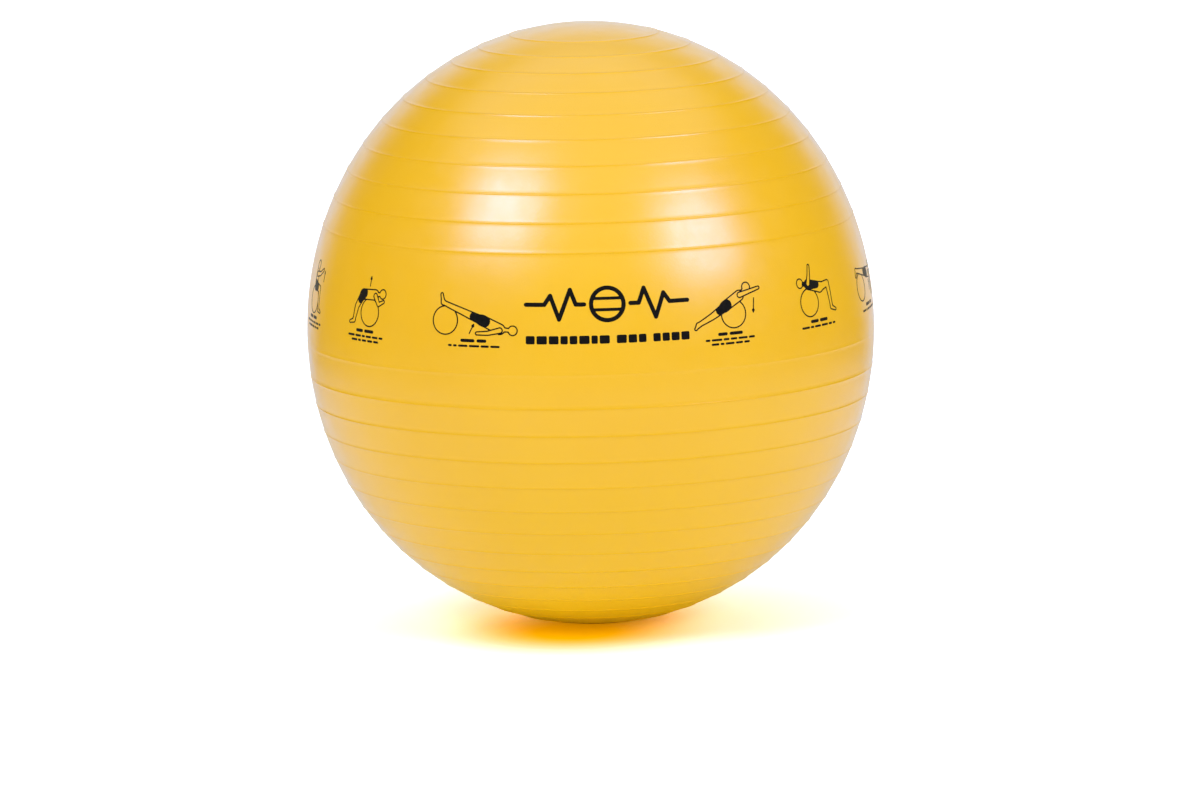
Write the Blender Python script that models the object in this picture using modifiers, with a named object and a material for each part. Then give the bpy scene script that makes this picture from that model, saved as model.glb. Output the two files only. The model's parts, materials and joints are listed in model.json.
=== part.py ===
"""Inflatable exercise ball: a seamless PVC skin, the valve seat fused into it and the stopper that closes it.

The origin is the centre of the small flat patch that the ball stands on. +Z runs up the ball's axis, the
printed front faces -Y and the valve faces +Y. Everything is in metres, at the size of the inflated ball.
"""

import math

import bpy

# The inflated skin. Its outline is a slightly egg-shaped ellipse, a little wider below its middle.
DIAMETER = 0.450
HALF_HEIGHT = 0.2395
TAPER = 0.0150
FULLNESS = 0.0165
FLATTENING = 0.0021
WALL = 0.0011
SKIN_SEGMENTS = 64
SKIN_RINGS = 30

# The valve, in the smooth belt round the back of the ball. Depths run inwards from the ball's surface.
VALVE_ABOVE_CENTRE = 0.030
VALVE_DOME_RADIUS = 0.235
VALVE_SEGMENTS = 32
GAP = 0.0003

SEAT_RADIUS = 0.0160
SEAT_FLANGE_RADIUS = 0.0210
SEAT_FLANGE_DEPTH = WALL + 0.00055
SEAT_FLANGE_THICKNESS = 0.0013
SLEEVE_RADIUS = 0.0085
SLEEVE_TIP_RADIUS = 0.0074
SLEEVE_ROOT_DEPTH = 0.0036
SLEEVE_LENGTH = 0.0220
BORE_RADIUS = 0.0046

HEAD_RADIUS = 0.0102
HEAD_CROWN_DEPTH = 0.0001
HEAD_THICKNESS = 0.0019
HEAD_CHAMFER = 0.0006
STEM_RADIUS = 0.0036
BARB_RADIUS = BORE_RADIUS - GAP
BARB_COUNT = 4
BARB_PITCH = 0.0034
BARB_FACE = 0.0003
BARB_LAND = 0.0007
BARB_LENGTH = 0.0026
FIRST_BARB_DEPTH = 0.0040
TIP_RADIUS = 0.0029
STEM_DEPTH = 0.0205
CORE_RADIUS = 0.0018
CORE_END_DEPTH = 0.0060

CENTRE_HEIGHT = HALF_HEIGHT - FLATTENING
RECESS_RADIUS = HEAD_RADIUS + GAP
RECESS_DEPTH = HEAD_CROWN_DEPTH + HEAD_THICKNESS + GAP

SMOOTH_BELOW = math.radians(35)
MERGE = 0.00001


def outline_radius(angle):
    """The ball's radius at an angle from the top pole."""
    c = math.cos(angle)
    return DIAMETER / 2 * math.sin(angle) * (1 - TAPER * c + FULLNESS * c * c)


def outline_height(angle):
    """The height above the floor at an angle from the top pole."""
    return CENTRE_HEIGHT + HALF_HEIGHT * math.cos(angle)


def outward_tilt(angle):
    """How far the surface's outward direction leans up from the horizontal."""
    step = 1e-4
    across = outline_radius(angle + step) - outline_radius(angle - step)
    down = outline_height(angle - step) - outline_height(angle + step)
    return math.atan2(across, down)


def new_collection(name):
    collection = bpy.data.collections.new(name)
    bpy.context.scene.collection.children.link(collection)
    return collection


def plastic(name, colour, roughness, subsurface=0.0):
    material = bpy.data.materials.new(name)
    material.use_nodes = True
    shader = material.node_tree.nodes["Principled BSDF"]
    shader.inputs["Base Color"].default_value = (*colour, 1.0)
    shader.inputs["Roughness"].default_value = roughness
    shader.inputs["Metallic"].default_value = 0.0
    shader.inputs["Subsurface Weight"].default_value = subsurface
    return material


def turned(name, outline, segments, collection, material, closed=False):
    """A body turned about its own Z axis, from (radius, height) points that run down its outer side."""
    mesh = bpy.data.meshes.new(name)
    points = [(radius, 0.0, height) for radius, height in outline]
    edges = [(i, i + 1) for i in range(len(points) - 1)]
    if closed:
        edges.append((len(points) - 1, 0))
    mesh.from_pydata(points, edges, [])
    mesh.materials.append(material)
    body = bpy.data.objects.new(name, mesh)
    collection.objects.link(body)
    screw = body.modifiers.new("Turn", "SCREW")
    screw.steps = segments
    screw.render_steps = segments
    screw.use_merge_vertices = True
    screw.merge_threshold = MERGE
    return body


def apply_modifiers(body):
    """Makes the modified shape the body's own mesh, smooth except along its sharp edges."""
    graph = bpy.context.evaluated_depsgraph_get()
    made = bpy.data.meshes.new_from_object(body.evaluated_get(graph))
    made.name = body.name
    body.modifiers.clear()
    body.data = made
    made.shade_smooth()
    made.set_sharp_from_angle(angle=SMOOTH_BELOW)


def ball_outline():
    """From the top pole down to the edge of the resting patch, and in to the patch's centre."""
    patch_angle = math.acos(-CENTRE_HEIGHT / HALF_HEIGHT)
    outline = []
    for i in range(SKIN_RINGS + 1):
        angle = patch_angle * i / SKIN_RINGS
        outline.append((outline_radius(angle), outline_height(angle)))
    outline.append((0.0, 0.0))
    return outline


def dome(radius):
    """The depth of the ball's surface below the valve's tangent plane, this far from the valve's axis."""
    return VALVE_DOME_RADIUS - math.sqrt(VALVE_DOME_RADIUS**2 - radius**2)


def seat_outline():
    """The ring flush with the skin, the flange behind the skin, the sleeve, the bore and the head's recess."""
    flange_back = SEAT_FLANGE_DEPTH + SEAT_FLANGE_THICKNESS
    return [
        (RECESS_RADIUS, -dome(RECESS_RADIUS)),
        (SEAT_RADIUS, -dome(SEAT_RADIUS)),
        (SEAT_RADIUS, -dome(SEAT_RADIUS) - SEAT_FLANGE_DEPTH),
        (SEAT_FLANGE_RADIUS, -dome(SEAT_FLANGE_RADIUS) - SEAT_FLANGE_DEPTH),
        (SEAT_FLANGE_RADIUS, -dome(SEAT_FLANGE_RADIUS) - flange_back),
        (SLEEVE_RADIUS, -SLEEVE_ROOT_DEPTH),
        (SLEEVE_TIP_RADIUS, -SLEEVE_LENGTH),
        (BORE_RADIUS, -SLEEVE_LENGTH),
        (BORE_RADIUS, -RECESS_DEPTH),
        (RECESS_RADIUS, -RECESS_DEPTH),
    ]


def plug_outline():
    """The head, the barbed stem, its tip, and the hollow core that opens at the tip."""
    head_back = HEAD_CROWN_DEPTH + HEAD_THICKNESS
    rim = HEAD_RADIUS - HEAD_CHAMFER
    outline = [(0.0, -HEAD_CROWN_DEPTH)]
    for share in (0.5, 1.0):
        outline.append((share * rim, -HEAD_CROWN_DEPTH - dome(share * rim)))
    outline.append((HEAD_RADIUS, -HEAD_CROWN_DEPTH - dome(rim) - HEAD_CHAMFER))
    outline.append((HEAD_RADIUS, -head_back))
    outline.append((STEM_RADIUS, -head_back))
    for i in range(BARB_COUNT):
        depth = FIRST_BARB_DEPTH + i * BARB_PITCH
        outline.append((STEM_RADIUS, -depth))
        outline.append((BARB_RADIUS, -depth - BARB_FACE))
        outline.append((BARB_RADIUS, -depth - BARB_FACE - BARB_LAND))
        outline.append((STEM_RADIUS, -depth - BARB_LENGTH))
    outline.append((TIP_RADIUS, -STEM_DEPTH))
    outline.append((CORE_RADIUS, -STEM_DEPTH))
    outline.append((CORE_RADIUS, -CORE_END_DEPTH - CORE_RADIUS))
    outline.append((0.0, -CORE_END_DEPTH))
    return outline


def add_valve_frame(collection):
    """An empty on the ball's surface whose +Z is the valve's outward axis."""
    angle = math.acos(VALVE_ABOVE_CENTRE / HALF_HEIGHT)
    frame = bpy.data.objects.new("valve_axis", None)
    frame.location = (0.0, outline_radius(angle), outline_height(angle))
    frame.rotation_euler = (outward_tilt(angle) - math.pi / 2, 0.0, 0.0)
    collection.objects.link(frame)
    return frame


def add_valve_cutter(valve_frame, collection):
    """The round opening in the skin that the valve seat fills."""
    bpy.ops.mesh.primitive_cylinder_add(
        vertices=SKIN_SEGMENTS, radius=SEAT_RADIUS + GAP, depth=20 * WALL
    )
    cutter = bpy.context.object
    cutter.name = "valve_opening_cutter"
    cutter.parent = valve_frame
    cutter.hide_render = True
    cutter.display_type = "WIRE"
    for collection_before in cutter.users_collection:
        collection_before.objects.unlink(cutter)
    collection.objects.link(cutter)
    return cutter


def add_skin(collection, cutter):
    pvc = plastic("yellow_pvc", (0.89, 0.46, 0.02), 0.38, subsurface=0.1)
    skin = turned("skin", ball_outline(), SKIN_SEGMENTS, collection, pvc)
    shell = skin.modifiers.new("Wall", "SOLIDIFY")
    shell.thickness = WALL
    shell.offset = -1.0
    shell.use_even_offset = True
    opening = skin.modifiers.new("Valve opening", "BOOLEAN")
    opening.object = cutter
    opening.operation = "DIFFERENCE"
    opening.solver = "EXACT"
    return skin


def add_valve_seat(valve_frame, collection):
    soft_pvc = plastic("yellow_soft_pvc", (0.84, 0.41, 0.02), 0.45)
    seat = turned("valve_seat", seat_outline(), VALVE_SEGMENTS, collection, soft_pvc, closed=True)
    apply_modifiers(seat)
    seat.parent = valve_frame
    return seat


def add_valve_plug(valve_frame, collection):
    polythene = plastic("white_polythene", (0.86, 0.86, 0.84), 0.35)
    plug = turned("valve_plug", plug_outline(), VALVE_SEGMENTS, collection, polythene)
    apply_modifiers(plug)
    plug.parent = valve_frame
    return plug


def clear_scene():
    for old in list(bpy.data.objects):
        bpy.data.objects.remove(old, do_unlink=True)


def main():
    clear_scene()
    parts = new_collection("exercise_ball")
    cutters = new_collection("cutters")
    valve_frame = add_valve_frame(parts)
    cutter = add_valve_cutter(valve_frame, cutters)
    add_skin(parts, cutter)
    add_valve_seat(valve_frame, parts)
    add_valve_plug(valve_frame, parts)


main()
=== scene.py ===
"""The looks of the ribbed exercise ball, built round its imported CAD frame.

Lengths are in metres, and in millimetres in the print's artwork. A place on the skin is an azimuth
round the axis, 0 at the printed front and positive towards +X, and an arc, which is the distance
down the ball's outline from its top pole.
"""

import json
import math
from functools import partial

import bpy
import numpy as np
from mathutils import Matrix, Vector


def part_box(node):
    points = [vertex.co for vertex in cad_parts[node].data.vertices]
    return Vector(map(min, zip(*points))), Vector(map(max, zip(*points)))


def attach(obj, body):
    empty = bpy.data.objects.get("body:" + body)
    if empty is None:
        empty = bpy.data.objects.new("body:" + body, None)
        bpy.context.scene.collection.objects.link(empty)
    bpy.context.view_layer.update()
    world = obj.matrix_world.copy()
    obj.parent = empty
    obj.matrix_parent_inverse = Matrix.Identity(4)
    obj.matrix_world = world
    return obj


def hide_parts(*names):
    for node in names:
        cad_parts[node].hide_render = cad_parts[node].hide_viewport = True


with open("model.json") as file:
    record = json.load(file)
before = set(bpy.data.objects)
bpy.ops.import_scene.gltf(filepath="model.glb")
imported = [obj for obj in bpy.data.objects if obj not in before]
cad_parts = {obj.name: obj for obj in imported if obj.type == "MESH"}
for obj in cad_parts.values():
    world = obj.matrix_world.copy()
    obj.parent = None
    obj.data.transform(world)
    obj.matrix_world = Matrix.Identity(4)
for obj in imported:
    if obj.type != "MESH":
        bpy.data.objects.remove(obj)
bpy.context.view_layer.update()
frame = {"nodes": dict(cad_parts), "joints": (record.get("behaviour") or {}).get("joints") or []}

MM = 0.001
TURN = 2 * math.pi

# The skin's form: the same rule as the CAD's, with its size taken from the frame.
TAPER = 0.0150
FULLNESS = 0.0165
FLATTENING = 2.1 * MM
WALL = 1.1 * MM
PATCH_RUN_OUT = 1.2
OUTLINE_SAMPLES = 6001

# Slow waves over the skin: each is (waves round the ball, radians per metre of arc, phase).
UNEVENNESS = 0.10 * MM
UNEVEN_WAVES = ((2, 17.0, 0.3), (3, 26.0, 1.9), (5, 39.0, 4.4))

# Moulded ribs, each on a faint flare. A group is (first arc, pitch, count).
RIB_GROUPS = (
    (59.9 * MM, 0.0, 1),
    (86.5 * MM, 24.0 * MM, 9),
    (400.7 * MM, 22.4 * MM, 13),
)
RIB_HEIGHT = 0.36 * MM
RIB_HALF_WIDTH = 1.15 * MM
FLARE_HEIGHT = 0.04 * MM
FLARE_HALF_WIDTH = 8.0 * MM

# The fine moulding line below the print.
PARTING_ARC = 373.6 * MM
PARTING_HEIGHT = 0.10 * MM
PARTING_HALF_WIDTH = 0.6 * MM

# Fineness of the meshes. The window is the square of the skin's grid with the valve's hole in it.
COLUMNS = 240
RIB_ROWS = 9
PARTING_ROWS = 5
OUTER_SPACING = 2.6 * MM
INNER_SPACING = 8.0 * MM
RUN_OUT_ROWS = 14
RUN_OUT_MARGIN = 0.1
WINDOW_COLUMNS = 8
WINDOW_SPLIT = 3
WINDOW_RINGS = 6
ROUNDING_STEPS = 4
NEARLY_HALF = 0.49  # the most of an edge that one corner's rounding takes
MERGE_DISTANCE = 0.01 * MM
SHARP_ANGLE = 40.0
VALVE_SHARP_ANGLE = 50.0
ROW_TOLERANCE = 1e-6

# The valve's seat. The valve's outward axis comes from the stopper's joint, and depths run inwards
# from the plane that touches the skin there.
VALVE_SEGMENTS = WINDOW_COLUMNS * 4 * WINDOW_SPLIT
VALVE_DOME_RADIUS = 0.235
SEAT_RADIUS = 16.0 * MM
SEAT_SEAM = 0.05 * MM
RECESS_RADIUS = 10.5 * MM
RECESS_DEPTH = 2.3 * MM
FLANGE_RADIUS = 21.0 * MM
FLANGE_SET_BACK = WALL + 0.55 * MM
FLANGE_THICKNESS = 1.3 * MM
SLEEVE_ROOT_RADIUS = 8.5 * MM
SLEEVE_ROOT_DEPTH = 3.6 * MM
SLEEVE_RADIUS = 7.4 * MM
SLEEVE_END = 22.0 * MM
BORE_RADIUS = 4.6 * MM

# The stopper.
HEAD_RADIUS = 10.2 * MM
HEAD_CROWN = 0.1 * MM
HEAD_BACK = 2.0 * MM
DOME_RADII = 0.0, 2.0 * MM, 4.0 * MM, 5.6 * MM
GROOVE_RADII = 6.1 * MM, 6.9 * MM
GROOVE_DEPTH = 0.25 * MM
HEAD_RIM_RADIUS = 7.4 * MM
STEM_RADIUS = 3.6 * MM
BARB_CLEARANCE = 0.3 * MM
BARB_RADIUS = BORE_RADIUS - BARB_CLEARANCE
BARB_START = 4.0 * MM
BARB_PITCH = 3.4 * MM
BARB_COUNT = 4
BARB_RISE = 0.3 * MM
BARB_LAND = 1.0 * MM
BARB_LENGTH = 2.6 * MM
TIP_RADIUS = 2.9 * MM
TIP_DEPTH = 20.5 * MM
CORE_RADIUS = 1.8 * MM
CORE_TOP = 6.0 * MM
CORE_SHOULDER = 7.8 * MM

# Ink: the film's faces lie this far above and below the skin.
INK_LIFT = 0.06 * MM
INK_SINK = 0.10 * MM


def stand_flat(radius, height):
    """Presses the foot of the outline flat on the floor, with a smooth run-out round the patch."""
    half = len(radius) // 2
    foot_radius = radius[::-1][:half]
    foot_height = height[::-1][:half]
    patch = np.interp(0.0, foot_height, foot_radius)
    inner, outer = patch / PATCH_RUN_OUT, patch * PATCH_RUN_OUT
    rise = np.interp(outer, foot_radius, foot_height)
    share = np.clip((radius - inner) / (outer - inner), 0.0, 1.0)
    on_foot = (np.arange(len(radius)) > half) & (radius < outer)
    return np.where(on_foot, rise * share**2, height), inner, outer


class Outline:
    """The skin's outline, from the top pole to the centre of the resting patch, by arc length."""

    def __init__(self, half_width, top):
        half_height = (top + FLATTENING) / 2
        angle = np.linspace(0.0, math.pi, OUTLINE_SAMPLES)
        cosine = np.cos(angle)
        radius = half_width * np.sin(angle) * (1 - TAPER * cosine + FULLNESS * cosine**2)
        height = top - half_height + half_height * cosine
        height, self.patch_inner, self.patch_outer = stand_flat(radius, height)
        steps = np.hypot(np.diff(radius), np.diff(height))
        self.arc = np.concatenate([[0.0], np.cumsum(steps)])
        self.radius = radius
        self.height = height
        self.out_radius = -np.gradient(height, self.arc)
        self.out_height = np.gradient(radius, self.arc)
        self.length = float(self.arc[-1])
        self.half_width = half_width

    def radius_at(self, arc):
        return np.interp(arc, self.arc, self.radius)

    def arc_at_height(self, height):
        return float(np.interp(-height, -self.height, self.arc))

    def points(self, azimuth, arc, lift=0.0):
        """Points on the uneven skin, raised along its outward direction by lift."""
        radius = self.radius_at(arc)
        height = np.interp(arc, self.arc, self.height)
        rise = lift + self.unevenness(azimuth, arc, radius)
        radius = radius + rise * np.interp(arc, self.arc, self.out_radius)
        height = height + rise * np.interp(arc, self.arc, self.out_height)
        x, y = radius * np.sin(azimuth), -radius * np.cos(azimuth)
        return np.stack([x, y, height], axis=-1)

    def unevenness(self, azimuth, arc, radius):
        """Slow waves, as an inflated skin of uneven thickness has, dying away at the poles."""
        total = 0.0
        for turns, rate, phase in UNEVEN_WAVES:
            total = total + np.sin(turns * azimuth + rate * arc + phase)
        fade = (radius / self.half_width) ** 2
        on_floor = np.clip((self.length - arc - self.patch_outer) / self.patch_outer, 0.0, 1.0)
        return UNEVENNESS / len(UNEVEN_WAVES) * total * fade * on_floor


skin_low, skin_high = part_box("skin")
outline = Outline((skin_high.x - skin_low.x) / 2, skin_high.z)


# ---------------- skin


def bead(offset, half_width):
    """A rounded bead's height, from 0 at its edges to 1 along its middle."""
    share = np.clip(np.abs(offset) / half_width, 0.0, 1.0)
    return (1 - share**2) ** 2


def rib_arcs():
    return [first + i * pitch for first, pitch, count in RIB_GROUPS for i in range(count)]


def relief(arc):
    """How far the moulded beads stand out of the skin."""
    total = PARTING_HEIGHT * bead(arc - PARTING_ARC, PARTING_HALF_WIDTH)
    for rib in rib_arcs():
        total = total + RIB_HEIGHT * bead(arc - rib, RIB_HALF_WIDTH)
        total = total + FLARE_HEIGHT * bead(arc - rib, FLARE_HALF_WIDTH)
    return total


def filled(rows, spacing):
    """The rows in order, with more between any two that lie further apart than spacing."""
    rows = sorted(rows)
    made = []
    for above, below in zip(rows, rows[1:]):
        count = max(1, math.ceil((below - above) / spacing - ROW_TOLERANCE))
        made += [above + (below - above) * i / count for i in range(count)]
    return made + [rows[-1]]


def valve_place():
    """The valve's arc, at the middle of the stopper's head in the frame, and its outward axis."""
    joint = next(joint for joint in frame["joints"] if joint["name"] == "plug_pull")
    axis = Vector(joint["axis"]).normalized()
    plug = frame["nodes"]["valve_plug"].data
    crown = max((vertex.co for vertex in plug.vertices), key=lambda place: place.dot(axis))
    return outline.arc_at_height(crown.z), axis


VALVE_AZIMUTH = math.pi
VALVE_ARC, VALVE_AXIS = valve_place()
VALVE_SKIN_RADIUS = float(outline.radius_at(VALVE_ARC))
WINDOW_HALF = WINDOW_COLUMNS / 2 * TURN / COLUMNS * VALVE_SKIN_RADIUS


def shared_rows():
    """Rows that both surfaces have: across the valve's window and at the resting patch."""
    window = [VALVE_ARC + WINDOW_HALF * s for s in np.linspace(-1, 1, WINDOW_COLUMNS + 1)]
    start = outline.length - (1 + RUN_OUT_MARGIN) * outline.patch_outer
    end = outline.length - (1 - RUN_OUT_MARGIN) * outline.patch_inner
    return window, list(np.linspace(start, end, RUN_OUT_ROWS))


def skin_rows(with_beads, spacing):
    """All rows of one surface from top to bottom, and those that cross the valve's window."""
    window, run_out = shared_rows()
    rows = [spacing / 2, outline.length - spacing / 2] + window + run_out
    if with_beads:
        rows += [PARTING_ARC + PARTING_HALF_WIDTH * s for s in np.linspace(-1, 1, PARTING_ROWS)]
        for rib in rib_arcs():
            rows += [rib + RIB_HALF_WIDTH * s for s in np.linspace(-1, 1, RIB_ROWS)]
    above = [row for row in rows if row <= window[0]]
    below = [row for row in rows if row >= window[-1]]
    return filled(above, spacing) + window[1:-1] + filled(below, spacing), window


class Shell:
    """One surface of the skin: a grid with a pole at each end and a round hole for the valve."""

    def __init__(self, rows, window, lift, first):
        self.first = first
        self.rows = rows
        self.top_row = int(np.argmin(np.abs(np.array(rows) - window[0])))
        self.left = COLUMNS // 2 - WINDOW_COLUMNS // 2
        azimuth, arc = np.meshgrid(np.arange(COLUMNS) * TURN / COLUMNS, rows)
        grid = outline.points(azimuth, arc, lift(arc)).reshape(-1, 3)
        ends = np.array([0.0, outline.length])
        poles = outline.points(np.zeros(2), ends, lift(ends))
        rings = self.ring_places()
        hole = outline.points(rings[..., 0], rings[..., 1], lift(rings[..., 1])).reshape(-1, 3)
        self.poles_at = first + len(grid)
        self.rings_at = self.poles_at + 2
        self.ring_size = rings.shape[1]
        self.points = np.concatenate([grid, poles, hole])

    def thickness(self):
        """1 along the middle of each rib and 0 off the ribs, at each point of this surface."""
        by_row = np.zeros(len(self.rows))
        for rib in rib_arcs():
            by_row += bead(np.array(self.rows) - rib, RIB_HALF_WIDTH)
        off_grid = np.zeros(len(self.points) - len(by_row) * COLUMNS)
        return np.concatenate([np.repeat(by_row, COLUMNS), off_grid])

    def at(self, row, column):
        return self.first + row * COLUMNS + column % COLUMNS

    def ring(self, index, place):
        return self.rings_at + index * self.ring_size + place % self.ring_size

    def window_loop(self):
        """(row, column) round the window's edge, anticlockwise as seen from outside."""
        top, left, n = self.top_row, self.left, WINDOW_COLUMNS
        loop = [(top + i, left) for i in range(n)]
        loop += [(top + n, left + i) for i in range(n)]
        loop += [(top + n - i, left + n) for i in range(n)]
        loop += [(top, left + n - i) for i in range(n)]
        return loop

    def ring_places(self):
        """(azimuth, arc) of rings that pass from the square window to the round hole."""
        loop = [(column * TURN / COLUMNS, self.rows[row]) for row, column in self.window_loop()]
        loop = np.array(loop + loop[:1])
        places = np.arange((len(loop) - 1) * WINDOW_SPLIT) / WINDOW_SPLIT
        corners = np.arange(len(loop))
        edge = np.stack([np.interp(places, corners, loop[:, i]) for i in (0, 1)], axis=-1)
        centre = np.array([VALVE_AZIMUTH, VALVE_ARC])
        scale = np.array([VALVE_SKIN_RADIUS, 1.0])
        offset = (edge - centre) * scale
        hole = offset / np.linalg.norm(offset, axis=1)[:, None] * (SEAT_RADIUS + SEAT_SEAM)
        rings = []
        for i in range(1, WINDOW_RINGS + 1):
            share = i / WINDOW_RINGS
            rings.append(centre + (offset * (1 - share) + hole * share) / scale)
        return np.array(rings)

    def faces(self):
        """All faces of this surface, anticlockwise as seen from outside the ball."""
        made = []
        last = len(self.rows) - 1
        for column in range(COLUMNS):
            made.append((self.poles_at, self.at(0, column), self.at(0, column + 1)))
            made.append((self.poles_at + 1, self.at(last, column + 1), self.at(last, column)))
        window_rows = range(self.top_row, self.top_row + WINDOW_COLUMNS)
        window_columns = range(self.left, self.left + WINDOW_COLUMNS)
        for row in range(last):
            for column in range(COLUMNS):
                if row in window_rows and column in window_columns:
                    continue
                above = self.at(row, column), self.at(row, column + 1)
                below = self.at(row + 1, column), self.at(row + 1, column + 1)
                made.append((above[0], *below, above[1]))
        return made + self.window_faces()

    def window_faces(self):
        """The faces between the window's square edge and the round hole."""
        loop = [self.at(row, column) for row, column in self.window_loop()]
        made = []
        for i, corner in enumerate(loop):
            inner = [self.ring(0, WINDOW_SPLIT * i + k) for k in range(WINDOW_SPLIT, -1, -1)]
            made.append((corner, loop[(i + 1) % len(loop)], *inner))
        for ring in range(WINDOW_RINGS - 1):
            made += band(self, ring, self, ring + 1)
        return made


def band(first, first_ring, second, second_ring):
    """Faces between a ring of one surface and a ring of the same or another surface."""
    made = []
    for i in range(first.ring_size):
        near = first.ring(first_ring, i), first.ring(first_ring, i + 1)
        far = second.ring(second_ring, i + 1), second.ring(second_ring, i)
        made.append(near + far)
    return made


def linked_object(name, data):
    made = bpy.data.objects.new(name, data)
    bpy.context.scene.collection.objects.link(made)
    return made


def finish_mesh(mesh, material, sharp_angle):
    mesh.materials.append(material)
    mesh.shade_smooth()
    mesh.set_sharp_from_angle(angle=math.radians(sharp_angle))


def new_mesh_object(name, points, faces, material):
    mesh = bpy.data.meshes.new(name)
    mesh.from_pydata([tuple(point) for point in np.asarray(points, float)], [], faces)
    finish_mesh(mesh, material, SHARP_ANGLE)
    return linked_object(name, mesh)


def inner_lift(arc):
    """The inner surface lies a wall's thickness below the plain skin, and has no beads."""
    return np.full_like(arc, -WALL)


def build_skin(material):
    """The skin as one closed body: outer surface, inner surface and the valve opening's rim."""
    outer = Shell(*skin_rows(True, OUTER_SPACING), relief, 0)
    inner = Shell(*skin_rows(False, INNER_SPACING), inner_lift, len(outer.points))
    faces = outer.faces() + [face[::-1] for face in inner.faces()]
    faces += band(outer, WINDOW_RINGS - 1, inner, WINDOW_RINGS - 1)
    points = np.concatenate([outer.points, inner.points])
    skin = new_mesh_object("ball_skin", points, faces, material)
    thickness = skin.data.attributes.new("rib_thickness", "FLOAT", "POINT")
    values = np.concatenate([outer.thickness(), np.zeros(len(inner.points))])
    thickness.data.foreach_set("value", values)
    return skin


# ---------------- valve


def valve_matrix():
    """From the valve's own space, +Z outwards from the skin and +Y up, to the frame."""
    across = Vector((-1.0, 0.0, 0.0))
    up = VALVE_AXIS.cross(across)
    middle = Vector(outline.points(VALVE_AZIMUTH, VALVE_ARC).tolist())
    turn = Matrix((across, up, VALVE_AXIS)).transposed().to_4x4()
    return Matrix.Translation(middle) @ turn


def skin_depth(radius):
    """How far the skin curves back from the valve's plane at this distance from its axis."""
    return radius**2 / (2 * VALVE_DOME_RADIUS)


def rounded(corners):
    """An outline through (radius, depth, rounding) corners, each rounded off by its own amount."""
    made = []
    for i, (x, y, rounding) in enumerate(corners):
        here = Vector((x, y))
        if rounding == 0 or i in (0, len(corners) - 1):
            made.append(here)
            continue
        before = Vector(corners[i - 1][:2]) - here
        after = Vector(corners[i + 1][:2]) - here
        cut = min(rounding, NEARLY_HALF * before.length, NEARLY_HALF * after.length)
        start = here + before.normalized() * cut
        end = here + after.normalized() * cut
        for step in range(ROUNDING_STEPS + 1):
            share = step / ROUNDING_STEPS
            made.append(start * (1 - share) ** 2 + here * 2 * share * (1 - share) + end * share**2)
    return made


def turned(name, path, material, closed):
    """A body turned about the valve's axis, from (radius, depth) points down its outside."""
    mesh = bpy.data.meshes.new(name)
    edges = [(i, i + 1) for i in range(len(path) - 1)]
    if closed:
        edges.append((len(path) - 1, 0))
    mesh.from_pydata([(point.x, 0.0, -point.y) for point in path], edges, [])
    made = linked_object(name, mesh)
    screw = made.modifiers.new("Turn", "SCREW")
    screw.steps = VALVE_SEGMENTS
    screw.render_steps = VALVE_SEGMENTS
    screw.use_merge_vertices = True
    screw.merge_threshold = MERGE_DISTANCE
    graph = bpy.context.evaluated_depsgraph_get()
    made.data = bpy.data.meshes.new_from_object(made.evaluated_get(graph))
    made.modifiers.clear()
    made.data.transform(valve_matrix())
    finish_mesh(made.data, material, VALVE_SHARP_ANGLE)
    return made


def on_skin(radius, rounding, sunk=0.0):
    """A corner on the skin's own curve, or sunk below it."""
    return radius, skin_depth(radius) + sunk, rounding


def seat_path():
    """The flush ring with its recess, the flange behind the skin, the sleeve and the bore."""
    flange_back = FLANGE_SET_BACK + FLANGE_THICKNESS
    return rounded([
        on_skin(RECESS_RADIUS + 2.0 * MM, 0),
        on_skin(SEAT_RADIUS, 0.35 * MM),
        on_skin(SEAT_RADIUS, 0, FLANGE_SET_BACK),
        on_skin(FLANGE_RADIUS, 0.3 * MM, FLANGE_SET_BACK),
        on_skin(FLANGE_RADIUS, 0.3 * MM, flange_back),
        (SLEEVE_ROOT_RADIUS, SLEEVE_ROOT_DEPTH, 1.6 * MM),
        (SLEEVE_RADIUS, SLEEVE_END, 0.6 * MM),
        (BORE_RADIUS, SLEEVE_END, 0.4 * MM),
        (BORE_RADIUS, RECESS_DEPTH, 0.5 * MM),
        (RECESS_RADIUS, RECESS_DEPTH, 0.25 * MM),
        on_skin(RECESS_RADIUS, 0.4 * MM),
        on_skin(RECESS_RADIUS + 1.0 * MM, 0),
    ])


def barb_corners():
    """The stem's barbs, each steep towards the head and sloping towards the tip."""
    corners = []
    for i in range(BARB_COUNT):
        depth = BARB_START + i * BARB_PITCH
        corners.append((STEM_RADIUS, depth, 0.15 * MM))
        corners.append((BARB_RADIUS, depth + BARB_RISE, 0.12 * MM))
        corners.append((BARB_RADIUS, depth + BARB_LAND, 0.3 * MM))
        corners.append((STEM_RADIUS, depth + BARB_LENGTH, 0.4 * MM))
    return corners


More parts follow.
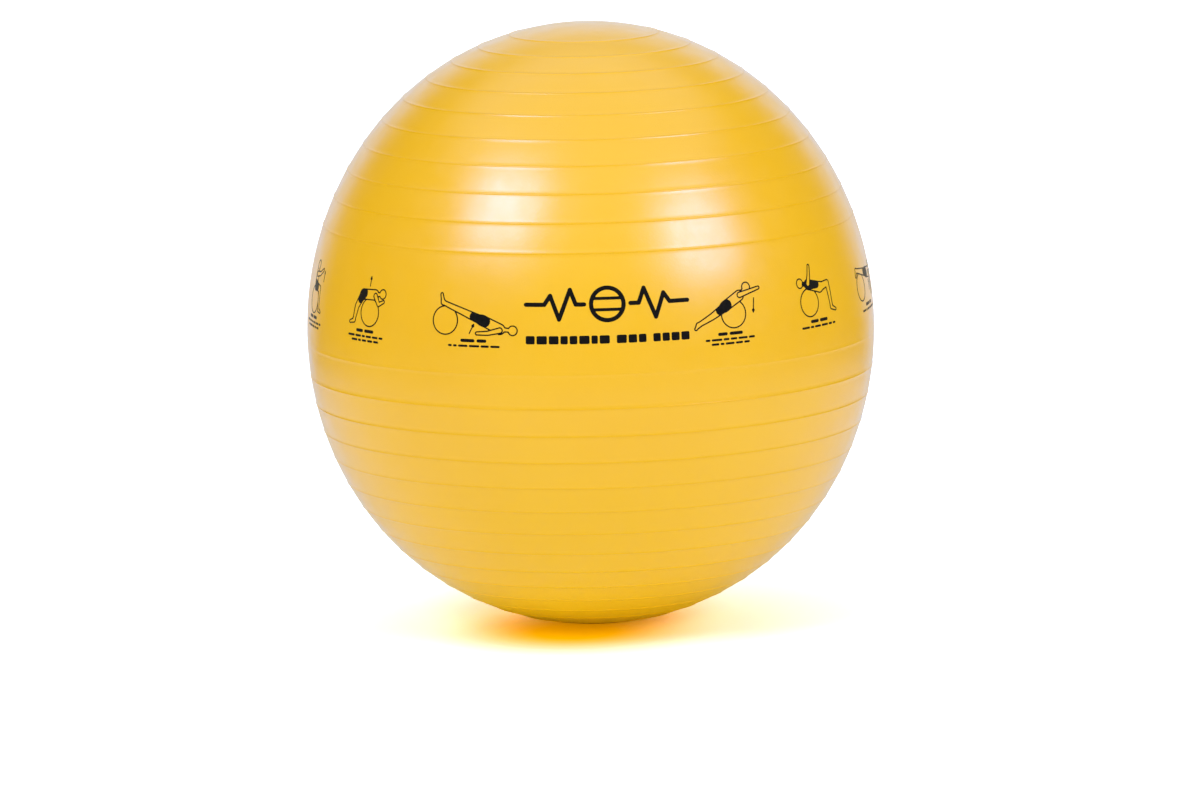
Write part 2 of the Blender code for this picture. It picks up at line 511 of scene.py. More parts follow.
def plug_path():
    """The domed head with a thumb groove, the barbed stem and the hollow core open at its tip."""
    dome = [on_skin(radius, 0, HEAD_CROWN) for radius in DOME_RADII]
    groove = [on_skin(radius, 0.3 * MM, HEAD_CROWN + GROOVE_DEPTH) for radius in GROOVE_RADII]
    rim = [
        on_skin(HEAD_RIM_RADIUS, 0.2 * MM, HEAD_CROWN),
        on_skin(HEAD_RADIUS, 0.6 * MM, HEAD_CROWN),
        (HEAD_RADIUS, HEAD_BACK, 0.3 * MM),
        (STEM_RADIUS, HEAD_BACK, 0.4 * MM),
    ]
    tip = [
        (TIP_RADIUS, TIP_DEPTH, 0.4 * MM),
        (CORE_RADIUS, TIP_DEPTH, 0.2 * MM),
        (CORE_RADIUS, CORE_SHOULDER, 0.6 * MM),
        (0.0, CORE_TOP, 0),
    ]
    return rounded(dome + groove + rim + barb_corners() + tip)


# ---------------- print

# The artwork is drawn with distance fields, in mm: below 0 inside a shape, and above 0 outside it.
FAR = 1e3
NEAR_ZERO = 1e-4  # no outline may run through a grid point
NO_LENGTH = 1e-12  # a guard against division by 0


def nothing(x):
    """The field of an empty picture."""
    return np.full(x.shape, FAR)


def capsule(x, y, start, end, start_radius, end_radius):
    """Distance to a limb: a round-ended line that passes from one radius to the other."""
    ax, ay = start
    dx, dy = end[0] - ax, end[1] - ay
    along = (x - ax) * dx + (y - ay) * dy
    share = np.clip(along / (dx * dx + dy * dy + NO_LENGTH), 0.0, 1.0)
    from_line = np.hypot(x - ax - share * dx, y - ay - share * dy)
    return from_line - start_radius - share * (end_radius - start_radius)


def chain(x, y, joints, radii):
    """Distance to a limb that runs through several joints, with a radius at each."""
    made = nothing(x)
    for i, (start, end) in enumerate(zip(joints, joints[1:])):
        made = np.minimum(made, capsule(x, y, start, end, radii[i], radii[i + 1]))
    return made


def disc(x, y, centre, radius):
    return np.hypot(x - centre[0], y - centre[1]) - radius


def bar(x, y, left, right, middle, height):
    """Distance to a level bar with round ends."""
    radius = height / 2
    return capsule(x, y, (left + radius, middle), (right - radius, middle), radius, radius)


def rounded_block(x, y, width, height, radius):
    """Distance to a block with round corners, whose middle is x = y = 0."""
    across = np.abs(x) - width / 2 + radius
    along = np.abs(y) - height / 2 + radius
    outside = np.hypot(np.maximum(across, 0.0), np.maximum(along, 0.0))
    return outside + np.minimum(np.maximum(across, along), 0.0) - radius


def outlined(field, width):
    return np.abs(field) - width / 2


def melted(first, second, reach):
    """The union of two shapes with a soft web of this reach where they meet."""
    share = np.clip(0.5 + 0.5 * (second - first) / reach, 0.0, 1.0)
    return second * (1 - share) + first * share - reach * share * (1 - share)


def inked_cells(field, xs, ys):
    """The flat mesh of all that lies inside field = 0, cut cell by cell from a square grid."""
    points, index, faces = [], {}, []

    def vertex(key, x, y):
        if key not in index:
            index[key] = len(points)
            points.append((x, y))
        return index[key]

    inside = field < 0
    counts = inside[:-1, :-1].astype(int) + inside[1:, :-1] + inside[:-1, 1:] + inside[1:, 1:]
    for row, column in np.argwhere(counts > 0):
        corners = ((row, column), (row, column + 1), (row + 1, column + 1), (row + 1, column))
        face = []
        for here, there in zip(corners, corners[1:] + corners[:1]):
            if inside[here]:
                face.append(vertex(here, xs[here[1]], ys[here[0]]))
            if inside[here] != inside[there]:
                share = field[here] / (field[here] - field[there])
                crossing = (min(here, there), max(here, there))
                x = xs[here[1]] + share * (xs[there[1]] - xs[here[1]])
                y = ys[here[0]] + share * (ys[there[0]] - ys[here[0]])
                face.append(vertex(crossing, x, y))
        if len(face) > 2:
            faces.append(tuple(face))
    return np.array(points), faces


def edge_walls(faces, count):
    """Side faces of a film: one for each edge that only one flat face has."""
    edges = [edge for face in faces for edge in zip(face, face[1:] + face[:1])]
    known = set(edges)
    return [(b, a, a + count, b + count) for a, b in edges if (b, a) not in known]


def print_film(name, draw, box, azimuth, height, cell, material):
    """A thin film of ink on the skin. draw gives the artwork's field, x to the right and y up."""
    left, right, bottom, top = box
    xs = np.arange(left - 2 * cell, right + 2 * cell, cell)
    ys = np.arange(bottom - 2 * cell, top + 2 * cell, cell)
    field = draw(*np.meshgrid(xs, ys))
    field = np.where(np.abs(field) < NEAR_ZERO, NEAR_ZERO, field)
    flat, faces = inked_cells(field, xs, ys)
    arc = outline.arc_at_height(height)
    across = math.radians(azimuth) + flat[:, 0] * MM / float(outline.radius_at(arc))
    down = arc - flat[:, 1] * MM
    points = [outline.points(across, down, lift) for lift in (INK_LIFT, -INK_SINK)]
    count = len(flat)
    low_faces = [tuple(i + count for i in face[::-1]) for face in faces]
    all_faces = faces + low_faces + edge_walls(faces, count)
    made = new_mesh_object(name, np.concatenate(points), all_faces, material)
    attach(made, "ball")


# The emblem: a ball with two bands, and the corners of the pulse line on its right.
EMBLEM_LINE = 3.3
EMBLEM_RADIUS = 12.6
EMBLEM_BANDS = -4.4, 4.4
EMBLEM_BAND_HALF = 1.2
EMBLEM_PULSE = (
    (18.0, 0.0), (24.5, 0.0), (29.0, 11.5), (37.5, -11.5), (44.5, 7.0), (49.0, 0.0), (63.5, 0.0),
)


def draw_emblem(x, y):
    """A ball with two bands, and a pulse line running away from it on either side."""
    ball = disc(x, y, (0, 0), EMBLEM_RADIUS)
    made = outlined(ball, EMBLEM_LINE)
    for middle in EMBLEM_BANDS:
        made = np.minimum(made, np.maximum(np.abs(y - middle) - EMBLEM_BAND_HALF, ball))
    pulse = chain(np.abs(x), y, EMBLEM_PULSE, [EMBLEM_LINE / 2] * len(EMBLEM_PULSE))
    return np.minimum(made, pulse)


# The row of blocks: how many are in each group, and the row's sizes.
BLOCK_GROUPS = 8, 3, 4
BLOCK_SEED = 7
BLOCK_WIDTHS = 4.6, 8.0
BLOCK_HEIGHT = 6.4
BLOCK_CORNER = 1.0
BLOCK_GAP = 1.5
BLOCK_SPACE = 5.5
BLOCK_ROW_WIDTH = 129.0


def draw_blocks(x, y):
    """A row of plain rounded blocks in groups under the emblem."""
    random = np.random.default_rng(BLOCK_SEED)
    widths = [random.uniform(*BLOCK_WIDTHS, count) for count in BLOCK_GROUPS]
    spaces = BLOCK_SPACE * (len(BLOCK_GROUPS) - 1)
    gaps = BLOCK_GAP * sum(count - 1 for count in BLOCK_GROUPS)
    scale = (BLOCK_ROW_WIDTH - spaces - gaps) / sum(group.sum() for group in widths)
    made = nothing(x)
    left = -BLOCK_ROW_WIDTH / 2
    for group in widths:
        for width in group * scale:
            block = rounded_block(x - left - width / 2, y, width, BLOCK_HEIGHT, BLOCK_CORNER)
            made = np.minimum(made, block)
            left += width + BLOCK_GAP
        left += BLOCK_SPACE - BLOCK_GAP
    return made


# Exercise figures, with the floor at about y = 0: the middle of the exercise ball and the head, the
# hip and the shoulder, each limb's joints, and the ends of each arrow's shaft.
FIGURES = {
    "bridge": {
        "ball": (-25.0, 11.0),
        "head": (32.5, 4.6),
        "torso": [(7.5, 12.0), (22.0, 5.6)],
        "leg": [(7.5, 11.8), (-10.5, 18.6), (-27.5, 24.6)],
        "foot": [(-27.8, 24.8), (-29.4, 31.0)],
        "arm": [(22.0, 4.6), (12.0, 2.2), (3.0, 1.8)],
        "arrows": [((-3.5, 1.5), (-0.5, 7.5))],
    },
    "back_lift": {
        "ball": (4.0, 11.0),
        "head": (17.8, 30.6),
        "torso": [(-3.0, 17.4), (10.5, 24.6)],
        "leg": [(-3.0, 17.0), (-15.0, 10.2), (-27.0, 4.6)],
        "foot": [(-27.3, 4.4), (-29.5, 1.6)],
        "arm": [(11.0, 25.0), (20.0, 27.0), (29.5, 29.0)],
        "arrows": [((24.0, 21.5), (22.5, 12.0))],
    },
    "chest_raise": {
        "ball": (-10.0, 11.0),
        "head": (-19.0, 27.0),
        "torso": [(-9.5, 25.2), (5.0, 21.6)],
        "leg": [(5.0, 21.4), (16.5, 23.4), (18.5, 6.0)],
        "foot": [(18.5, 4.0), (24.0, 2.0)],
        "arm": [(-9.0, 25.8), (-6.5, 32.5), (-4.5, 39.5)],
        "arrows": [],
    },
    "bent_over": {
        "ball": (5.0, 11.0),
        "head": (19.0, 26.4),
        "torso": [(-5.0, 24.6), (10.0, 25.2)],
        "leg": [(-5.5, 24.2), (-12.0, 14.6), (-14.5, 4.4)],
        "foot": [(-15.0, 3.0), (-20.0, 1.8)],
        "arm": [(10.5, 24.4), (15.0, 18.0), (20.5, 20.5)],
        "arrows": [((2.5, 31.5), (2.5, 37.5))],
    },
    "plank": {
        "ball": (-20.0, 11.0),
        "head": (27.0, 22.4),
        "torso": [(3.0, 20.0), (18.5, 18.6)],
        "leg": [(3.0, 20.0), (-13.0, 22.6), (-27.0, 25.0)],
        "foot": [(-27.3, 25.0), (-30.0, 20.6)],
        "arm": [(18.5, 17.6), (19.0, 9.5), (19.4, 2.0)],
        "arrows": [((10.5, 5.0), (10.5, 11.5))],
    },
    "seated": {
        "ball": (0.0, 10.0),
        "head": (-0.5, 37.2),
        "torso": [(0.0, 21.0), (-0.5, 30.6)],
        "leg": [(0.5, 20.8), (12.0, 19.4), (13.5, 5.0)],
        "foot": [(13.5, 3.0), (18.5, 1.8)],
        "arm": [(-0.5, 30.0), (8.0, 31.0), (15.5, 35.0)],
        "arrows": [((20.0, 26.0), (20.0, 33.0))],
    },
}
FIGURE_LINE = 1.0
FIGURE_BALL_RADIUS = 11.0
FIGURE_HEAD_RADIUS = 3.7
TORSO_RADII = 3.9, 4.1
NECK_RADII = 1.6, 1.4
LIMB_RADII = {"leg": (3.4, 2.5, 1.7), "foot": (1.6, 1.1), "arm": (2.1, 1.6, 1.2)}
LIMB_WEB = 1.6
NECK_WEB = 1.0

# The shorts: where they start and end along the thigh, as shares of it, and their radii.
WAIST = -0.10
HEM = 0.42
SHORTS_RADII = 4.6, 3.4

ARROW_SHAFT_RADIUS = 0.45
ARROW_HEAD_RADII = 1.3, 0.1
ARROW_HEAD_LENGTH = 2.2

# A caption's rows: (width, middle, height, number of bars). Every other caption has the last too.
CAPTION_ROWS = (22.0, -4.0, 2.5, 2), (44.0, -8.2, 1.7, 6), (34.0, -11.6, 1.7, 5)
CAPTION_SHARES = 0.5, 1.5
CAPTION_GAP = 0.7


def behind(field, cover):
    """What a covering shape, with its outline, leaves of a field."""
    return np.maximum(field, -(cover - FIGURE_LINE / 2))


def draw_arrow(x, y, start, end):
    """A short shaft with a filled, pointed head."""
    along = np.array(end, float) - np.array(start, float)
    along /= np.linalg.norm(along)
    tip = np.array(end) + ARROW_HEAD_LENGTH * along
    shaft = capsule(x, y, start, end, ARROW_SHAFT_RADIUS, ARROW_SHAFT_RADIUS)
    return np.minimum(shaft, capsule(x, y, end, tuple(tip), *ARROW_HEAD_RADII))


def body_and_arms(x, y, figure):
    """Distances to a figure's head, torso and legs, and to its arms."""
    hip, shoulder = figure["torso"]
    body = capsule(x, y, hip, shoulder, *TORSO_RADII)
    for limb in ("leg", "foot"):
        body = melted(body, chain(x, y, figure[limb], LIMB_RADII[limb]), LIMB_WEB)
    neck = capsule(x, y, shoulder, figure["head"], *NECK_RADII)
    body = melted(body, neck, NECK_WEB)
    body = np.minimum(body, disc(x, y, figure["head"], FIGURE_HEAD_RADIUS))
    return body, chain(x, y, figure["arm"], LIMB_RADII["arm"])


def shorts_on(x, y, body, figure):
    """Distance to the shorts on a body."""
    hip, knee = np.array(figure["torso"][0]), np.array(figure["leg"][1])
    thigh = knee - hip
    waist, hem = hip + WAIST * thigh, hip + HEM * thigh
    return np.maximum(body, capsule(x, y, tuple(waist), tuple(hem), *SHORTS_RADII))


def draw_figure(x, y, figure):
    """An outlined figure in dark shorts, exercising on an outlined ball."""
    body, arms = body_and_arms(x, y, figure)
    ball = disc(x, y, figure["ball"], FIGURE_BALL_RADIUS)
    made = np.minimum(behind(outlined(body, FIGURE_LINE), arms), outlined(arms, FIGURE_LINE))
    made = np.minimum(made, behind(shorts_on(x, y, body, figure), arms))
    made = np.minimum(made, behind(outlined(ball, FIGURE_LINE), np.minimum(body, arms)))
    for start, end in figure["arrows"]:
        made = np.minimum(made, draw_arrow(x, y, start, end))
    return made


def caption_bars(seed):
    """Rows of plain bars in place of a caption: (left, right, middle, height) of each."""
    random = np.random.default_rng(seed)
    rows = CAPTION_ROWS if seed % 2 else CAPTION_ROWS[:-1]
    made = []
    for width, middle, height, words in rows:
        shares = random.uniform(*CAPTION_SHARES, words)
        gap = CAPTION_GAP * height
        lengths = shares / shares.sum() * (width - gap * (words - 1))
        left = -width / 2
        for length in lengths:
            made.append((left, left + length, middle, height))
            left += length + gap
    return made


def draw_pictogram(x, y, figure, seed):
    """A figure with its caption. The seed gives each caption bars of its own."""
    made = draw_figure(x, y, figure)
    for left, right, middle, height in caption_bars(seed):
        made = np.minimum(made, bar(x, y, left, right, middle, height))
    return made


# The pictograms: where each stands round the belt, in degrees, and its figure.
PICTOGRAMS = (
    (-27.5, "bridge"),
    (25.5, "back_lift"),
    (49.5, "chest_raise"),
    (-55.5, "bent_over"),
    (75.5, "plank"),
    (-80.5, "seated"),
    (101.0, "seated"),
    (-106.0, "back_lift"),
    (127.0, "bridge"),
    (-131.0, "chest_raise"),
    (152.0, "bent_over"),
    (-155.0, "plank"),
)

# The height above the floor of each artwork's y = 0, in metres.
EMBLEM_LEVEL = 0.2832
BLOCKS_LEVEL = 0.2560
PICTOGRAM_LEVEL = 0.2585

# Each artwork's box (left, right, bottom, top) and the cells that it is cut into, in mm.
EMBLEM_BOX = -67, 67, -15, 15
BLOCKS_BOX = -65, 65, -4, 4
PICTOGRAM_BOX = -37, 38, -14, 43
EMBLEM_CELL = 0.5
BLOCKS_CELL = 0.45
PICTOGRAM_CELL = 0.4


def build_print(ink):
    print_film("print_emblem", draw_emblem, EMBLEM_BOX, 0.0, EMBLEM_LEVEL, EMBLEM_CELL, ink)
    print_film("print_blocks", draw_blocks, BLOCKS_BOX, 0.0, BLOCKS_LEVEL, BLOCKS_CELL, ink)
    for i, (azimuth, name) in enumerate(PICTOGRAMS):
        title = f"print_figure_{i + 1:02d}_{name}"
        draw = partial(draw_pictogram, figure=FIGURES[name], seed=i)
        print_film(title, draw, PICTOGRAM_BOX, azimuth, PICTOGRAM_LEVEL, PICTOGRAM_CELL, ink)


# ---------------- materials

# The two colours that a material drifts between, and the PVC's colour where it is thick.
SKIN_COLOURS = (0.900, 0.510, 0.005), (0.885, 0.492, 0.004)
SKIN_THICK = 0.865, 0.475, 0.002
SEAT_COLOURS = (0.86, 0.48, 0.006), (0.84, 0.46, 0.005)
SEAT_THICK = 0.80, 0.42, 0.004
INK_COLOURS = (0.006, 0.006, 0.006), (0.010, 0.009, 0.008)
POLYTHENE_COLOURS = (0.86, 0.86, 0.84), (0.80, 0.80, 0.78)

SKIN_ROUGHNESS = 0.31
SEAT_ROUGHNESS = 0.42
PVC_ROUGHNESS_SPREAD = 0.03
PVC_IOR = 1.53
PVC_SPECULAR = 0.5, 0.28  # off the ribs, and along them
INK_ROUGHNESS = 0.50, 0.62
POLYTHENE_ROUGHNESS = 0.30, 0.42

# The ink hardly mirrors the studio, and has a faint cream sheen at low angles.
INK_FINISH = {
    "Specular IOR Level": 0.02,
    "Sheen Weight": 0.35,
    "Sheen Roughness": 0.35,
    "Sheen Tint": (1.0, 0.84, 0.55, 1.0),
}


def new_material(name):
    """A material with its node tree, its Principled shader and an object-space position output."""
    material = bpy.data.materials.new(name)
    material.use_nodes = True
    tree = material.node_tree
    shader = tree.nodes["Principled BSDF"]
    place = tree.nodes.new("ShaderNodeTexCoord").outputs["Object"]
    return material, tree, shader, place


def noise(tree, place, scale, detail=2.0):
    node = tree.nodes.new("ShaderNodeTexNoise")
    node.inputs["Scale"].default_value = scale
    node.inputs["Detail"].default_value = detail
    tree.links.new(place, node.inputs["Vector"])
    return node.outputs["Fac"]


def remap(tree, value, low, high, start=0.35, end=0.65):
    """Maps a noise value's usual span, start to end, onto low to high."""
    node = tree.nodes.new("ShaderNodeMapRange")
    node.inputs["From Min"].default_value = start
    node.inputs["From Max"].default_value = end
    node.inputs["To Min"].default_value = low
    node.inputs["To Max"].default_value = high
    tree.links.new(value, node.inputs["Value"])
    return node.outputs["Result"]


def mixed_colour(tree, share, first, second):
    """A mix of two colours, each three numbers or another node's output."""
    node = tree.nodes.new("ShaderNodeMix")
    node.data_type = "RGBA"
    sockets = [socket for socket in node.inputs if socket.type == "RGBA"]
    for socket, colour in zip(sockets, (first, second)):
        if isinstance(colour, tuple):
            socket.default_value = (*colour, 1.0)
        else:
            tree.links.new(colour, socket)
    tree.links.new(share, node.inputs["Factor"])
    return next(socket for socket in node.outputs if socket.type == "RGBA")


def bumped(tree, height, distance, strength, before=None):
    node = tree.nodes.new("ShaderNodeBump")
    node.inputs["Distance"].default_value = distance
    node.inputs["Strength"].default_value = strength
    tree.links.new(height, node.inputs["Height"])
    if before is not None:
        tree.links.new(before, node.inputs["Normal"])
    return node.outputs["Normal"]


def mottled(tree, place, scale, colours):
    """A colour that drifts between two."""
    share = remap(tree, noise(tree, place, scale, detail=3.0), 0.0, 1.0)
    return mixed_colour(tree, share, *colours)


def pvc_material(name, colours, thick, roughness):
    """Satin, mottled PVC with an orange-peel surface, deeper in colour where it is thick."""
    material, tree, shader, place = new_material(name)
    rib = tree.nodes.new("ShaderNodeAttribute")
    rib.attribute_name = "rib_thickness"
    thin = mottled(tree, place, 9.0, colours)
    colour = mixed_colour(tree, rib.outputs["Fac"], thin, thick)
    tree.links.new(colour, shader.inputs["Base Color"])
    patches = noise(tree, place, scale=60.0, detail=3.0)
    low, high = roughness - PVC_ROUGHNESS_SPREAD, roughness + PVC_ROUGHNESS_SPREAD
    tree.links.new(remap(tree, patches, low, high), shader.inputs["Roughness"])
    swell = noise(tree, place, scale=260.0, detail=1.0)
    swell = bumped(tree, swell, distance=0.05 * MM, strength=0.5)
    grain = noise(tree, place, scale=850.0, detail=2.0)
    grain = bumped(tree, grain, distance=0.07 * MM, strength=1.0, before=swell)
    tree.links.new(grain, shader.inputs["Normal"])
    shader.inputs["IOR"].default_value = PVC_IOR
    level = remap(tree, rib.outputs["Fac"], *PVC_SPECULAR, start=0.0, end=1.0)
    tree.links.new(level, shader.inputs["Specular IOR Level"])
    return material


def ink_material():
    """Screen-printed black: thin, satin, and a little uneven in cover."""
    material, tree, shader, place = new_material("print_ink")
    tree.links.new(mottled(tree, place, 420.0, INK_COLOURS), shader.inputs["Base Color"])
    for name, value in INK_FINISH.items():
        shader.inputs[name].default_value = value
    satin = remap(tree, noise(tree, place, scale=900.0), *INK_ROUGHNESS)
    tree.links.new(satin, shader.inputs["Roughness"])
    grain = bumped(tree, noise(tree, place, scale=1500.0), distance=0.02 * MM, strength=0.5)
    tree.links.new(grain, shader.inputs["Normal"])
    return material


def polythene_material():
    """White moulded polythene: waxy, a little translucent, with a faint flow texture."""
    material, tree, shader, place = new_material("white_polythene")
    tree.links.new(mottled(tree, place, 160.0, POLYTHENE_COLOURS), shader.inputs["Base Color"])
    satin = remap(tree, noise(tree, place, scale=500.0), *POLYTHENE_ROUGHNESS)
    tree.links.new(satin, shader.inputs["Roughness"])
    grain = bumped(tree, noise(tree, place, scale=1100.0), distance=0.02 * MM, strength=0.4)
    tree.links.new(grain, shader.inputs["Normal"])
    shader.inputs["Subsurface Weight"].default_value = 0.15
    shader.inputs["Subsurface Scale"].default_value = 1.0 * MM
    return material


# ---------------- stage, light and camera

# The camera: how far round and above the ball it stands and its roll, in degrees, and how far the
# ball's axis, at AIM_HEIGHT, lies right of and above the middle of the picture.
CAMERA_AZIMUTH = -3.5
CAMERA_ELEVATION = 8.6
CAMERA_ROLL = 1.3
CAMERA_DISTANCE = 9.0
CAMERA_LENS = 340.2
CAMERA_REACH = 100.0
AIM_HEIGHT = 0.2374
AIM_RIGHT = -0.0075
AIM_UP = 0.0617

# Softboxes: name, azimuth and elevation in degrees, and the powers of the key light and the sheen.
SOFTBOX_SIDE = 0.68
SOFTBOX_DISTANCE = 1.6
SOFTBOXES = (
    ("softbox_left", -47.0, 43.0, 0.87, 31.0),
    ("softbox_right", 46.5, 31.5, 0.79, 28.5),
)
SHEEN_REACH = 1.45, 1.53  # the sheen fades out between these ray lengths
SHEEN_TINT = 0.30, 0.48, 1.0

# The studio's areas: how far a direction has to point to the backdrop, up or to the front before an
# area starts and until it is full, and the strength of each area for each kind of ray.
BACKDROP_AZIMUTH = 175.5
REAR = 0.765, 0.865
CEILING = 0.67, 0.80
FRONT = 0.35, 0.70
FRONT_HIGH = 0.25, 0.50
STUDIO = {
    "Is Diffuse Ray": {"rear": 2.1, "ceiling": 0.85, "sides": 0.65, "front_low": 1.1},
    "Is Glossy Ray": {"rear": 1.7, "ceiling": 1.9, "front_high": 1.6},
}
MIRRORED_TINT = 0.32, 0.58, 1.0
WHITE = 1.0, 1.0, 1.0
BLACK = 0.0, 0.0, 0.0

# The floor's colour for each kind of ray: the near zone's centre, where the change to the far zone
# starts and ends, and the near and the far colour. The near zones are painted light: a painted
# orange shadow for the camera, painted bounce light onto the ball, and a painted reflection in its
# gloss.
FLOOR_SIZE = 60.0
FLOOR_GAP = 0.1 * MM
CENTRE = 0.0, 0.0, 0.0
PAINTED_SHADOW_CENTRE = -0.022, -0.066, 0.0
FLOOR_PAINTED_LIGHT = {
    "Is Camera Ray": (PAINTED_SHADOW_CENTRE, (0.028, 0.122), (0.74, 0.54, 0.00), (1.40, 1.50, 1.64)),
    "Is Diffuse Ray": (CENTRE, (0.10, 0.42), (1.08, 1.24, 0.42), (0.95, 0.95, 0.95)),
    "Is Glossy Ray": (CENTRE, (0.070, 0.165), (0.60, 0.70, 0.05), (0.50, 0.88, 1.55)),
}
# The floor's painted reflection in the ball's gloss goes dark between these distances.
PAINTED_REFLECTION_FADE = 0.7, 1.5  # the floor in the ball's gloss goes dark between these distances
# A painted warm glow on the floor near the ball: its centre, where it starts and ends to fade, and
# its colour.
PAINTED_GLOW_CENTRE = -0.015, -0.030, 0.0
PAINTED_GLOW_RADII = 0.055, 0.145
PAINTED_GLOW_COLOUR = 0.50, 0.18, 0.0, 1.0

DIFFUSE_BOUNCES = 8


def away_from_ball(azimuth, elevation):
    """The direction from the ball's middle to a place at this azimuth and elevation, in degrees."""
    around, above = math.radians(azimuth), math.radians(elevation)
    x, y = math.sin(around) * math.cos(above), -math.cos(around) * math.cos(above)
    return Vector((x, y, math.sin(above)))


def camera_axes():
    """Right, up and forward of the camera."""
    around, roll = math.radians(CAMERA_AZIMUTH), math.radians(CAMERA_ROLL)
    forward = -away_from_ball(CAMERA_AZIMUTH, CAMERA_ELEVATION)
    level = Vector((math.cos(around), math.sin(around), 0.0))
    upright = level.cross(forward)
    right = level * math.cos(roll) - upright * math.sin(roll)
    up = level * math.sin(roll) + upright * math.cos(roll)
    return right, up, forward


def add_camera():
    right, up, forward = camera_axes()
    data = bpy.data.cameras.new("camera")
    data.lens = CAMERA_LENS
    data.clip_end = CAMERA_REACH
    camera = linked_object("camera", data)
    aim = Vector((0.0, 0.0, AIM_HEIGHT))
    place = aim - AIM_RIGHT * right - AIM_UP * up - CAMERA_DISTANCE * forward
    turn = Matrix((right, up, -forward)).transposed().to_4x4()
    camera.matrix_world = Matrix.Translation(place) @ turn
    bpy.context.scene.camera = camera


def add_light(kind, name, azimuth, elevation, power):
    """A light that shines on the ball's middle and that the camera doesn't see."""
    data = bpy.data.lights.new(name, kind)
    data.energy = power
    light = linked_object(name, data)
    away = away_from_ball(azimuth, elevation)
    light.location = Vector((0.0, 0.0, skin_high.z / 2)) + SOFTBOX_DISTANCE * away
    light.rotation_euler = away.to_track_quat("Z", "Y").to_euler()
    light.visible_camera = False
    return light


def add_softbox(name, azimuth, elevation, key, sheen):
    """A square softbox: an even key light, and a sheen that only glossy surfaces mirror."""
    sun = add_light("SUN", name + "_key", azimuth, elevation, key)
    sun.data.angle = 2 * math.atan(SOFTBOX_SIDE / 2 / SOFTBOX_DISTANCE)
    sun.visible_glossy = False
    box = add_light("AREA", name + "_sheen", azimuth, elevation, sheen)
    box.data.shape = "SQUARE"
    box.data.size = SOFTBOX_SIDE
    box.data.color = SHEEN_TINT
    box.visible_diffuse = False
    fade_with_reach(box.data)


def fade_with_reach(data):
    """Fades a light where it only grazes the ball, because its mirror image would blaze there."""
    data.use_nodes = True
    tree = data.node_tree
    path = tree.nodes.new("ShaderNodeLightPath")
    strength = rest_of(tree, ramp(tree, path.outputs["Ray Length"], *SHEEN_REACH))
    tree.links.new(strength, tree.nodes["Emission"].inputs["Strength"])


def add_floor():
    """A pale floor, with a painted warm glow and shadow near the ball for light through the ball's
    thin skin.
    """
    bpy.ops.mesh.primitive_plane_add(size=FLOOR_SIZE, location=(0.0, 0.0, -FLOOR_GAP))
    floor = bpy.context.object
    floor.name = "floor"
    material, tree, shader, place = new_material("pale_floor_painted_glow")
    path = tree.nodes.new("ShaderNodeLightPath")
    matt = tree.nodes.new("ShaderNodeBsdfDiffuse")
    tree.links.new(painted_floor_colour(tree, place, path), matt.inputs["Color"])
    # The painted glow: an emission on the floor near the ball that only the camera sees.
    painted_glow = tree.nodes.new("ShaderNodeEmission")
    painted_glow.inputs["Color"].default_value = PAINTED_GLOW_COLOUR
    near = rest_of(tree, ramp(tree, distance_from(tree, place, PAINTED_GLOW_CENTRE), *PAINTED_GLOW_RADII))
    strength = product(tree, near, path.outputs["Is Camera Ray"])
    tree.links.new(strength, painted_glow.inputs["Strength"])
    both = tree.nodes.new("ShaderNodeAddShader")
    tree.links.new(matt.outputs["BSDF"], both.inputs[0])
    tree.links.new(painted_glow.outputs["Emission"], both.inputs[1])
    tree.links.new(both.outputs["Shader"], tree.nodes["Material Output"].inputs["Surface"])
    tree.nodes.remove(shader)
    floor.data.materials.append(material)


def painted_floor_colour(tree, place, path):
    """The floor's colour as the camera sees it, as it lights the ball, and in the ball's gloss.
    Near the ball these are a painted shadow, painted bounce light and a painted reflection.
    """
    colour = BLACK
    for ray, (centre, radii, near, far) in FLOOR_PAINTED_LIGHT.items():
        zone = ramp(tree, distance_from(tree, place, centre), *radii)
        zones = mixed_colour(tree, zone, near, far)
        colour = mixed_colour(tree, path.outputs[ray], colour, zones)
    dark_reflection = product(tree, path.outputs["Is Glossy Ray"], painted_dark_reflection(tree, place))
    return mixed_colour(tree, dark_reflection, colour, BLACK)


def painted_dark_reflection(tree, place):
    """1 where the floor's painted reflection in the ball's gloss is dark: far off, except behind
    the ball.
    """
    reach = distance_from(tree, place, CENTRE)
    behind_ball = ramp(tree, maths(tree, "DIVIDE", towards_rear(tree, place), reach), *REAR)
    return product(tree, rest_of(tree, behind_ball), ramp(tree, reach, *PAINTED_REFLECTION_FADE))


def towards_rear(tree, direction):
    """How much of a direction runs straight to the backdrop."""
    return measured(tree, "DOT_PRODUCT", direction, away_from_ball(BACKDROP_AZIMUTH, 0.0))


def distance_from(tree, place, centre):
    return measured(tree, "DISTANCE", place, centre)


def measured(tree, operation, vector, other):
    """A Vector Math node that turns a node's vector output and a fixed vector into one value."""
    node = tree.nodes.new("ShaderNodeVectorMath")
    node.operation = operation
    node.inputs[1].default_value = other
    tree.links.new(vector, node.inputs[0])
    return node.outputs["Value"]


def maths(tree, operation, first, second):
    """A Math node on two values, each a number or another node's output."""
    node = tree.nodes.new("ShaderNodeMath")
    node.operation = operation
    for socket, value in zip(node.inputs, (first, second)):
        if isinstance(value, (int, float)):
            socket.default_value = value
        else:
            tree.links.new(value, socket)
    return node.outputs["Value"]


def product(tree, first, second):
    return maths(tree, "MULTIPLY", first, second)


def rest_of(tree, share):
    """What a share leaves of 1."""
    return maths(tree, "SUBTRACT", 1.0, share)


def ramp(tree, value, start, end):
    """A smooth step from 0 to 1 as the value passes from start to end."""
    node = tree.nodes.new("ShaderNodeMapRange")
    node.interpolation_type = "SMOOTHSTEP"
    node.inputs["From Min"].default_value = start
    node.inputs["From Max"].default_value = end
    tree.links.new(value, node.inputs["Value"])
    return node.outputs["Result"]


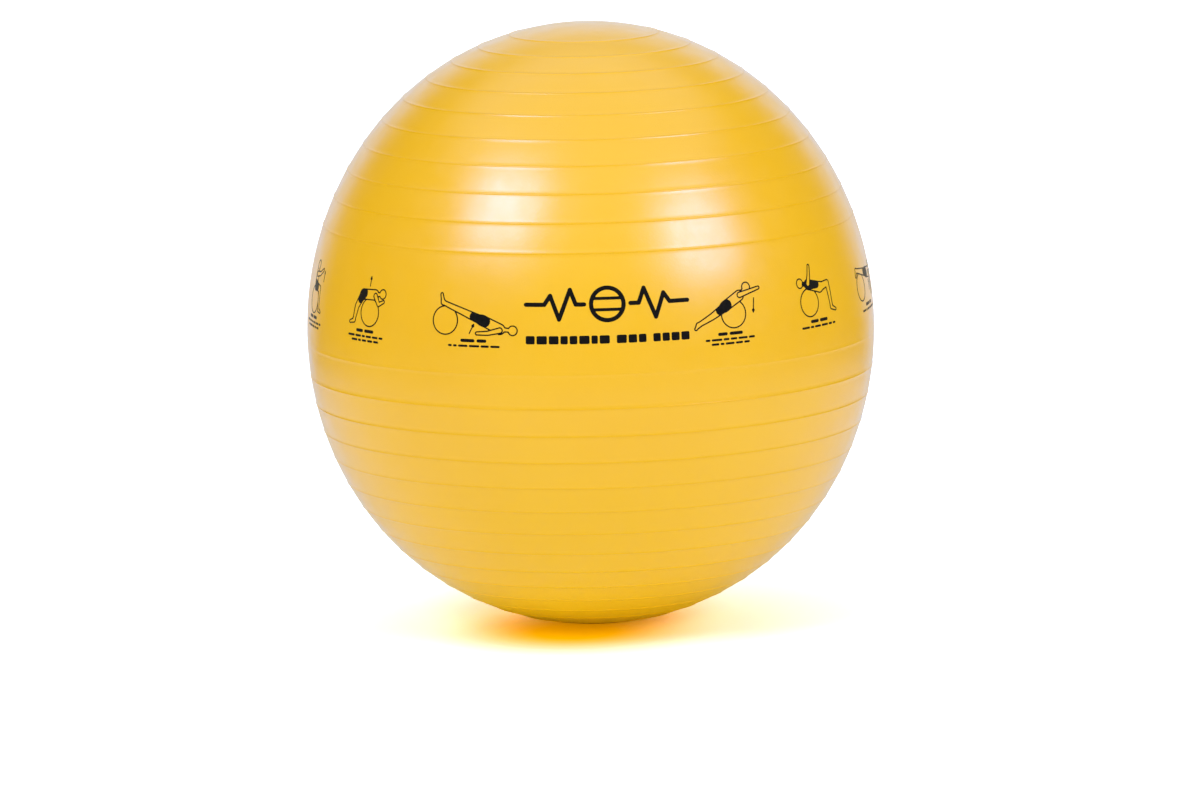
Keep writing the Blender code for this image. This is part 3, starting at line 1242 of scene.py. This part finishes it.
def studio_areas(tree):
    """How much of each area of the studio a ray meets. Incoming points back along the ray."""
    incoming = tree.nodes.new("ShaderNodeNewGeometry").outputs["Incoming"]
    split = tree.nodes.new("ShaderNodeSeparateXYZ")
    tree.links.new(incoming, split.inputs["Vector"])
    to_front = towards_rear(tree, incoming)
    to_rear = product(tree, to_front, -1.0)
    height = product(tree, split.outputs["Z"], -1.0)
    ceiling = ramp(tree, height, *CEILING)
    walls = rest_of(tree, ceiling)
    rear = product(tree, walls, ramp(tree, to_rear, *REAR))
    front = product(tree, walls, ramp(tree, to_front, *FRONT))
    upper = ramp(tree, height, *FRONT_HIGH)
    return {
        "rear": rear,
        "ceiling": ceiling,
        "sides": maths(tree, "SUBTRACT", maths(tree, "SUBTRACT", walls, rear), front),
        "front_high": product(tree, front, upper),
        "front_low": product(tree, front, rest_of(tree, upper)),
    }


def add_world():
    """The studio round the ball: plain white for the camera, and its areas for other rays."""
    world = bpy.data.worlds.new("studio")
    bpy.context.scene.world = world
    world.cycles.sampling_method = "NONE"
    world.use_nodes = True
    tree = world.node_tree
    path = tree.nodes.new("ShaderNodeLightPath")
    areas = studio_areas(tree)
    total = path.outputs["Is Camera Ray"]
    for ray, strengths in STUDIO.items():
        for area, strength in strengths.items():
            seen = product(tree, areas[area], path.outputs[ray])
            total = maths(tree, "ADD", total, product(tree, seen, strength))
    background = tree.nodes["Background"]
    tint = mixed_colour(tree, path.outputs["Is Glossy Ray"], WHITE, MIRRORED_TINT)
    tree.links.new(tint, background.inputs["Color"])
    tree.links.new(total, background.inputs["Strength"])


def light_stage():
    bpy.context.scene.view_settings.view_transform = "Standard"
    bpy.context.scene.cycles.diffuse_bounces = DIFFUSE_BOUNCES
    add_floor()
    add_world()
    for softbox in SOFTBOXES:
        add_softbox(*softbox)
    add_camera()


# ---------------- assembly


def dress(piece, body, node):
    """Puts a piece on its body, in place of the CAD node that it stands for."""
    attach(piece, body)
    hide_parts(node)


def build_ball():
    skin_pvc = pvc_material("skin_pvc", SKIN_COLOURS, SKIN_THICK, SKIN_ROUGHNESS)
    seat_pvc = pvc_material("seat_pvc", SEAT_COLOURS, SEAT_THICK, SEAT_ROUGHNESS)
    dress(build_skin(skin_pvc), "ball", "skin")
    seat = turned("valve_seat_ring", seat_path(), seat_pvc, closed=True)
    dress(seat, "ball", "valve_seat")
    plug = turned("valve_stopper", plug_path(), polythene_material(), closed=False)
    dress(plug, "plug", "valve_plug")
    build_print(ink_material())


build_ball()
light_stage()
